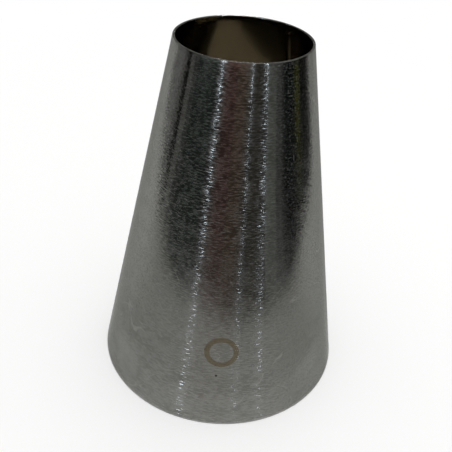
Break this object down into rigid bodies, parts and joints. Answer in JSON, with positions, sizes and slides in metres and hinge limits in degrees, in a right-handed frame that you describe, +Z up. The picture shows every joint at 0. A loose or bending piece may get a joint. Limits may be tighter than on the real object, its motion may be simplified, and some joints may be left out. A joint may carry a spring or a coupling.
{
  "type": "piping nozzle",
  "caption": "Large round piping nozzle: an open cone of thin brushed stainless sheet with a wide feed end, a round mouth and a welded seam.",
  "frame": {"origin": "centre of the plane that the wide feed end stands on", "axes": "+Z up the nozzle's axis, from the feed end to the mouth; -Y is the front, the side that faces the viewer"},
  "size_m": [0.0346, 0.0346, 0.0475],
  "materials": {
    "brushed_sheet": "stainless steel, brushed in fine hairlines round the axis outside, smoother and darker inside",
    "ground_weld": "stainless weld, ground flush and brushed with the sheet outside, left as a low bright bead inside"
  },
  "bodies": {
    "root": {"rolled_cone": "brushed_sheet", "seam_weld": "ground_weld"}
  },
  "joints": []
}
